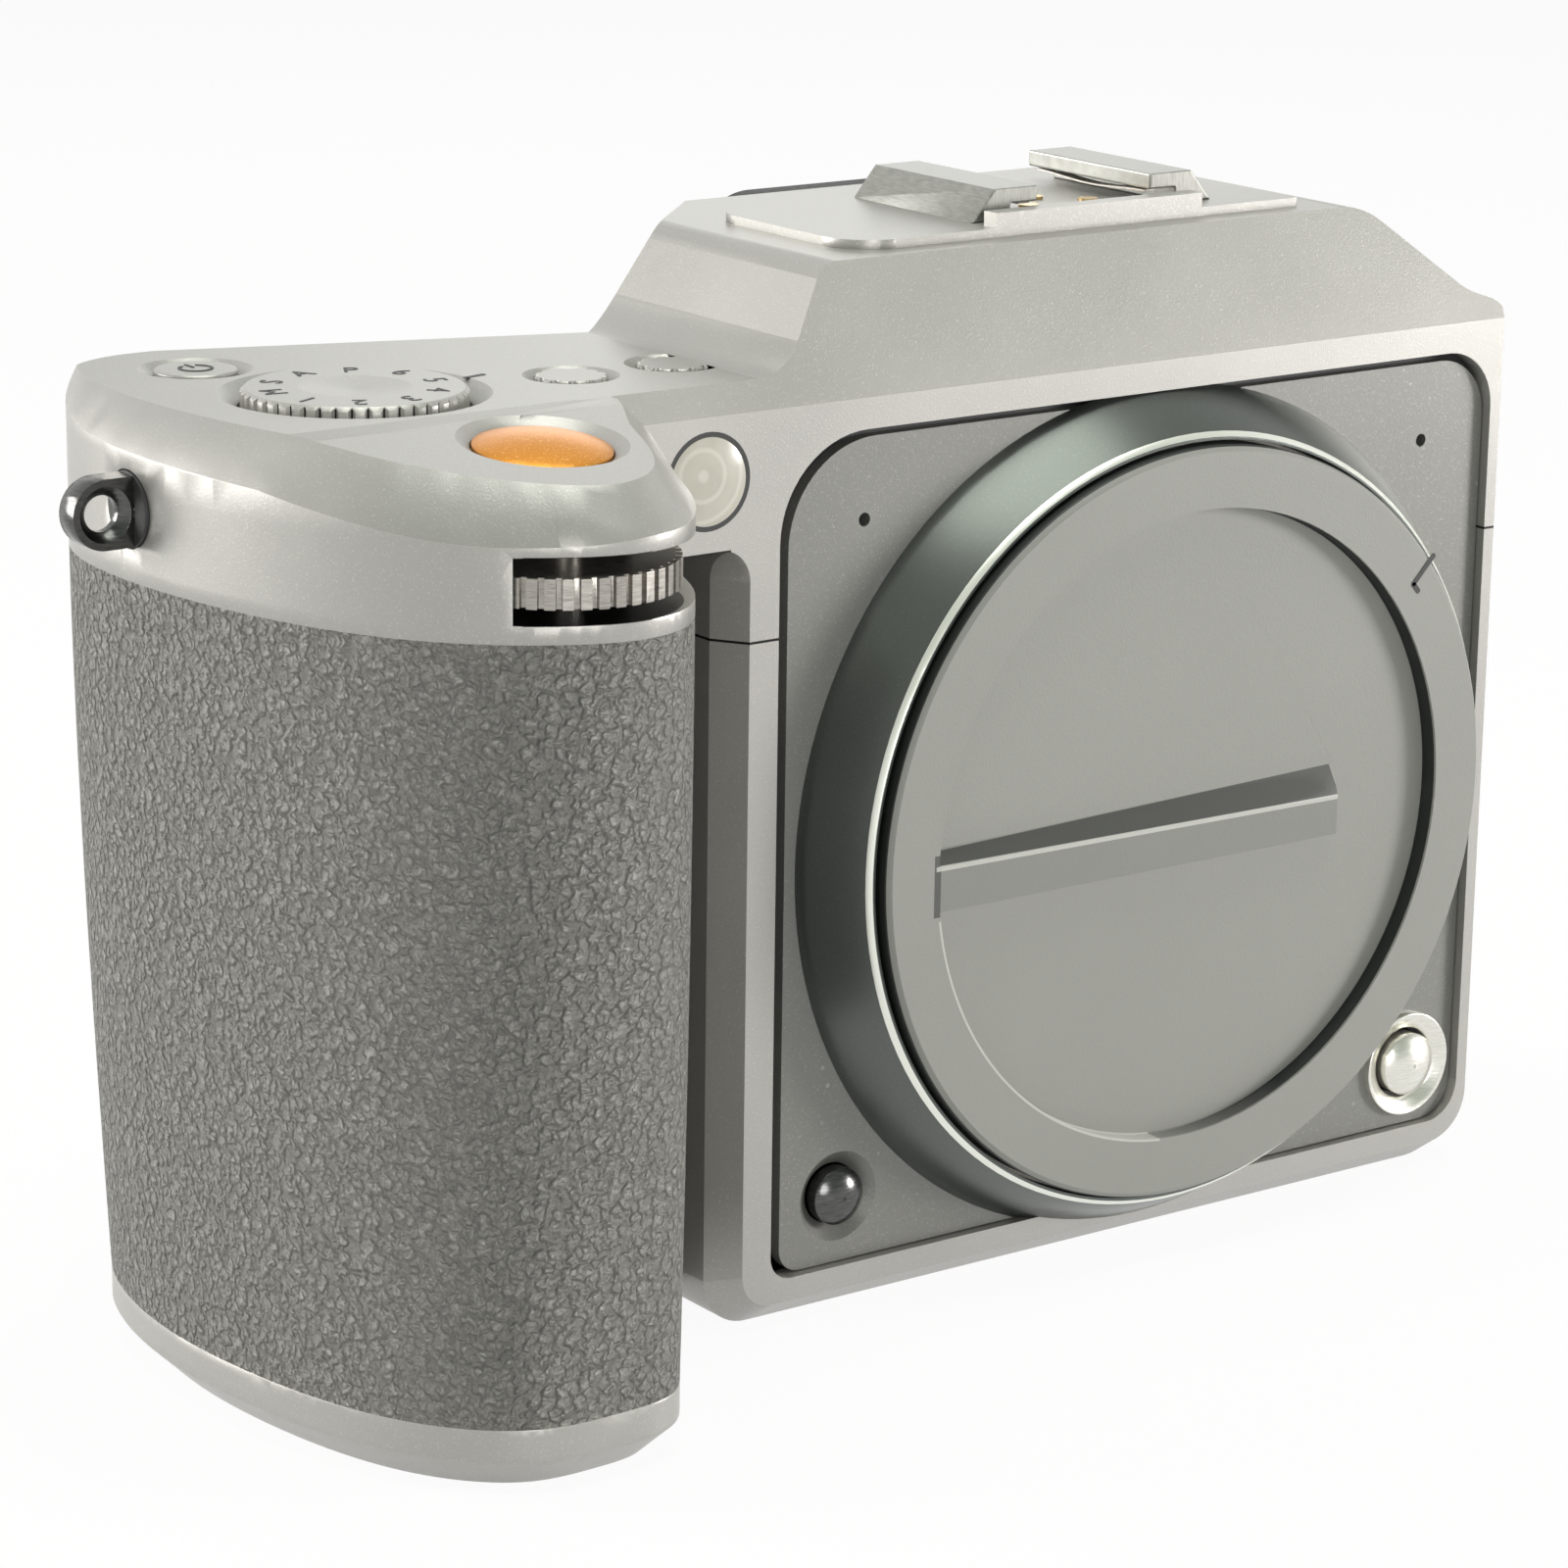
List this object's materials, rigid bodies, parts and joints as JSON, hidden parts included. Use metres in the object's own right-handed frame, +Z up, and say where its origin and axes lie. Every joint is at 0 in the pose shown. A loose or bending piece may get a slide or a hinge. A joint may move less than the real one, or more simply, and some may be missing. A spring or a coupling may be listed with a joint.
{
  "type": "digital camera body",
  "caption": "Medium format mirrorless camera body with its body cap on, deep grip, recessed mode dial, setting wheels, hot shoe, eyepiece and rear display",
  "frame": {"origin": "centre of the mouth of the tripod socket, in the plane of the camera's base, under the lens axis", "axes": "+Z is up, along the tripod screw's way in; the lens looks along -Y; +X is to the right as seen from the front, so the grip is on -X"},
  "size_m": [0.1466, 0.0703, 0.0959],
  "materials": {
    "alloy": "satin bead-blasted grey",
    "plate": "satin dark olive grey",
    "ring": "satin charcoal",
    "rubber": "pebbled mid grey",
    "black": "matte black",
    "cap": "fine matte grey",
    "steel": "turned steel",
    "chrome": "bright polished",
    "dark_steel": "dark polished",
    "orange": "orange anodised",
    "gold": "gold plated",
    "lamp": "milky",
    "screen": "clear over black",
    "sensor": "dark iridescent",
    "board": "green board",
    "cell": "dark grey"
  },
  "bodies": {
    "camera_body": {"top_cover": "alloy", "lower_body": "alloy", "rear_cover": "alloy", "grip_core": "black", "grip_rubber": "rubber", "grip_foot": "alloy", "front_plate": "plate", "mount_housing": "ring", "lens_mount": "steel", "contact_block": "black", "lens_contacts": "gold", "light_baffle": "black", "chassis": "black", "sensor_module": "sensor", "sensor_glass": "screen", "main_board": "board", "release_bezel": "chrome", "lamp_lens": "lamp", "lamp_bezel": "black", "shoe_slab": "alloy", "shoe_rails": "steel", "shoe_contacts": "gold", "wheel_axles": "steel", "strap_lugs": "dark_steel", "lug_collars": "black", "display_glass": "screen", "display_panel": "black", "thumb_rest": "rubber", "eyepiece_housing": "alloy", "eyecup": "rubber", "eyepiece_lens": "screen", "door_pins": "steel", "card_slots": "black", "port_sockets": "black", "tripod_socket": "steel", "screws": "dark_steel"},
    "shutter": {"shutter_button": "orange"},
    "dial_stem": {"dial_post": "steel"},
    "dial": {"mode_dial": "alloy"},
    "power_key": {"power_button": "alloy"},
    "focus_key": {"focus_button": "alloy"},
    "speed_key": {"speed_button": "alloy"},
    "front_ring": {"front_wheel": "steel"},
    "rear_ring": {"rear_wheel": "steel"},
    "stop_down": {"stop_down_button": "dark_steel"},
    "release": {"release_button": "chrome"},
    "lock": {"lock_pin": "steel"},
    "cap": {"body_cap": "cap"},
    "battery_pack": {"battery": "cell"},
    "catch": {"battery_catch": "black"},
    "lock_key": {"lock_button": "alloy"},
    "drive_key": {"drive_button": "alloy"},
    "diopter": {"diopter_wheel": "black"},
    "ports_lid": {"ports_door": "rubber"},
    "cards_lid": {"cards_door": "rubber"},
    "menu_key_1": {"menu_button_1": "black"},
    "menu_key_2": {"menu_button_2": "black"},
    "menu_key_3": {"menu_button_3": "black"},
    "menu_key_4": {"menu_button_4": "black"},
    "menu_key_5": {"menu_button_5": "black"}
  },
  "joints": [
    {"name": "shutter_press", "type": "slide", "parent": "camera_body", "child": "shutter", "axis": [0, 0.1132, -0.9936], "range_m": [0, 0.001], "stiffness_N_per_m": 300, "springref_m": -0.0004},
    {"name": "power_press", "type": "slide", "parent": "camera_body", "child": "power_key", "axis": [0, 0, -1], "range_m": [0, 0.0006], "stiffness_N_per_m": 300, "springref_m": -0.0004},
    {"name": "focus_press", "type": "slide", "parent": "camera_body", "child": "focus_key", "axis": [0, 0, -1], "range_m": [0, 0.0006], "stiffness_N_per_m": 300, "springref_m": -0.0004},
    {"name": "speed_press", "type": "slide", "parent": "camera_body", "child": "speed_key", "axis": [0, 0, -1], "range_m": [0, 0.0006], "stiffness_N_per_m": 300, "springref_m": -0.0004},
    {"name": "dial_lift", "type": "slide", "parent": "camera_body", "child": "dial_stem", "axis": [0, 0, 1], "range_m": [0, 0.003]},
    {"name": "dial_turn", "type": "hinge", "parent": "dial_stem", "child": "dial", "pos_m": [-0.0742, -0.0064, 0.081], "axis": [0, 0, 1], "continuous": true},
    {"name": "front_wheel_turn", "type": "hinge", "parent": "camera_body", "child": "front_ring", "pos_m": [-0.0715, -0.0326, 0.074], "axis": [0, 0, 1], "continuous": true},
    {"name": "rear_wheel_turn", "type": "hinge", "parent": "camera_body", "child": "rear_ring", "pos_m": [-0.0726, 0.0104, 0.0758], "axis": [0, 0, 1], "continuous": true},
    {"name": "stop_down_press", "type": "slide", "parent": "camera_body", "child": "stop_down", "axis": [0, 1, 0], "range_m": [0, 0.0015], "stiffness_N_per_m": 300, "springref_m": -0.0004},
    {"name": "release_press", "type": "slide", "parent": "camera_body", "child": "release", "axis": [0, 1, 0], "range_m": [0, 0.0015], "stiffness_N_per_m": 300, "springref_m": -0.0004},
    {"name": "lock_pin_slide", "type": "slide", "parent": "camera_body", "child": "lock", "axis": [0, 1, 0], "range_m": [0, 0.0015]},
    {"name": "cap_pull", "type": "slide", "parent": "camera_body", "child": "cap", "axis": [0, -1, 0], "range_m": [0, 0.02]},
    {"name": "battery_slide", "type": "slide", "parent": "camera_body", "child": "battery_pack", "axis": [0, 0, -1], "range_m": [0, 0.064]},
    {"name": "catch_slide", "type": "slide", "parent": "camera_body", "child": "catch", "axis": [1, 0, 0], "range_m": [0, 0.0022], "stiffness_N_per_m": 300, "springref_m": -0.0004},
    {"name": "lock_press", "type": "slide", "parent": "camera_body", "child": "lock_key", "axis": [-0.2011, -0.6105, -0.766], "range_m": [0, 0.0006], "stiffness_N_per_m": 300, "springref_m": -0.0004},
    {"name": "drive_press", "type": "slide", "parent": "camera_body", "child": "drive_key", "axis": [-0.2011, -0.6105, -0.766], "range_m": [0, 0.0006], "stiffness_N_per_m": 300, "springref_m": -0.0004},
    {"name": "menu_press_1", "type": "slide", "parent": "camera_body", "child": "menu_key_1", "axis": [0, -1, 0], "range_m": [0, 0.0006], "stiffness_N_per_m": 300, "springref_m": -0.0004},
    {"name": "menu_press_2", "type": "slide", "parent": "camera_body", "child": "menu_key_2", "axis": [0, -1, 0], "range_m": [0, 0.0006], "stiffness_N_per_m": 300, "springref_m": -0.0004},
    {"name": "menu_press_3", "type": "slide", "parent": "camera_body", "child": "menu_key_3", "axis": [0, -1, 0], "range_m": [0, 0.0006], "stiffness_N_per_m": 300, "springref_m": -0.0004},
    {"name": "menu_press_4", "type": "slide", "parent": "camera_body", "child": "menu_key_4", "axis": [0, -1, 0], "range_m": [0, 0.0006], "stiffness_N_per_m": 300, "springref_m": -0.0004},
    {"name": "menu_press_5", "type": "slide", "parent": "camera_body", "child": "menu_key_5", "axis": [0, -1, 0], "range_m": [0, 0.0006], "stiffness_N_per_m": 300, "springref_m": -0.0004},
    {"name": "diopter_turn", "type": "hinge", "parent": "camera_body", "child": "diopter", "pos_m": [0.0172, 0.0207, 0.0816], "axis": [0, 0, 1], "range_deg": [-150, 150]},
    {"name": "ports_door_swing", "type": "hinge", "parent": "camera_body", "child": "ports_lid", "pos_m": [0.0402, -0.008, 0.0205], "axis": [0, 0, -1], "range_deg": [0, 90]},
    {"name": "cards_door_swing", "type": "hinge", "parent": "camera_body", "child": "cards_lid", "pos_m": [0.0402, -0.008, 0.0469], "axis": [0, 0, -1], "range_deg": [0, 90]}
  ],
  "couplings": [
    {"joint": "lock_pin_slide", "follows": "release_press", "ratio": 1}
  ]
}
